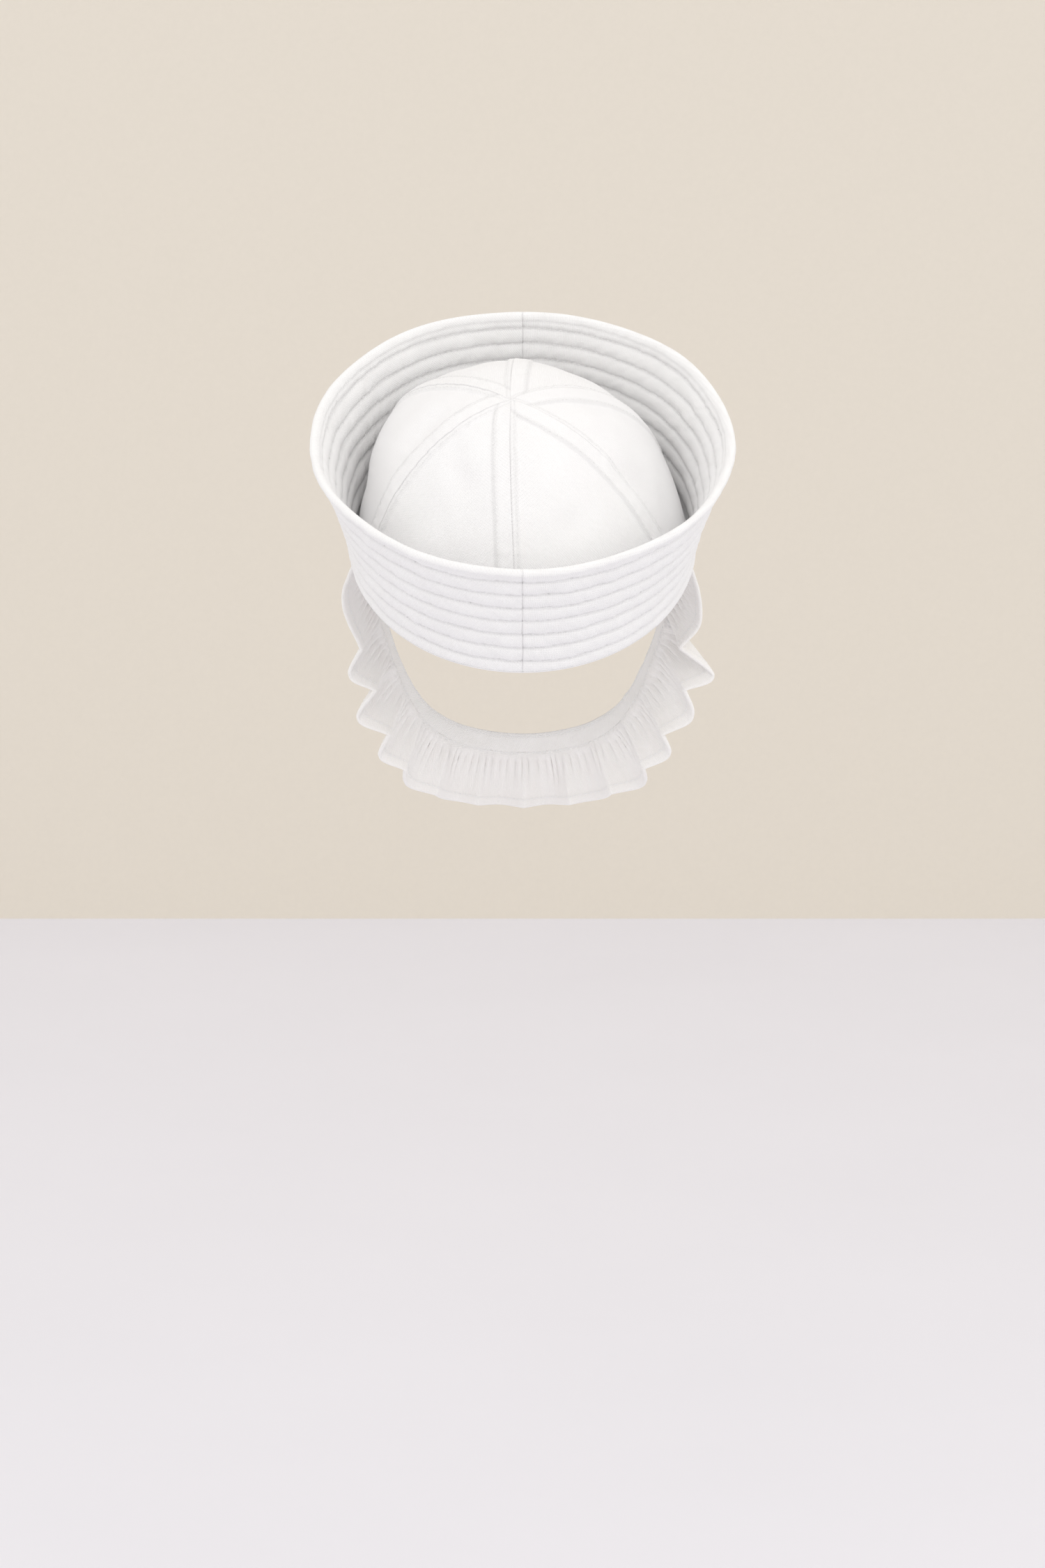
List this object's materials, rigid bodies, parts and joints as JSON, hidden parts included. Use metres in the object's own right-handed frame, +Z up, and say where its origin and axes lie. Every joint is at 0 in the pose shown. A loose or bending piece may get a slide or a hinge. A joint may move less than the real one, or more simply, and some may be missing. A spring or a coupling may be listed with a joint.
{
  "type": "sailor cap",
  "caption": "White cotton sailor cap with a domed six-gore crown, a tall flared stitched brim turned up all round, and a ruffled strap that hangs from the sides behind the neck.",
  "frame": {"origin": "centre of the head opening, in the plane of the brim's lower fold, where the cap sits on a head", "axes": "+Z up as worn, -Y towards the front of the cap, +X towards the wearer's left; the cap leans forward by 30 degrees about X"},
  "size_m": [0.2128, 0.216, 0.262],
  "materials": {
    "crown_cloth": "matte cotton twill",
    "brim_cloth": "matte cotton twill, stitched in rows",
    "strap_cloth": "matte cotton twill",
    "ruffle_cloth": "matte cotton twill, gathered"
  },
  "bodies": {
    "root": {"crown_gore_front_left": "crown_cloth", "crown_gore_front_right": "crown_cloth", "crown_gore_side_left": "crown_cloth", "crown_gore_side_right": "crown_cloth", "crown_gore_back_left": "crown_cloth", "crown_gore_back_right": "crown_cloth", "brim_left": "brim_cloth", "brim_right": "brim_cloth", "strap": "strap_cloth", "ruffle": "ruffle_cloth"}
  },
  "joints": []
}
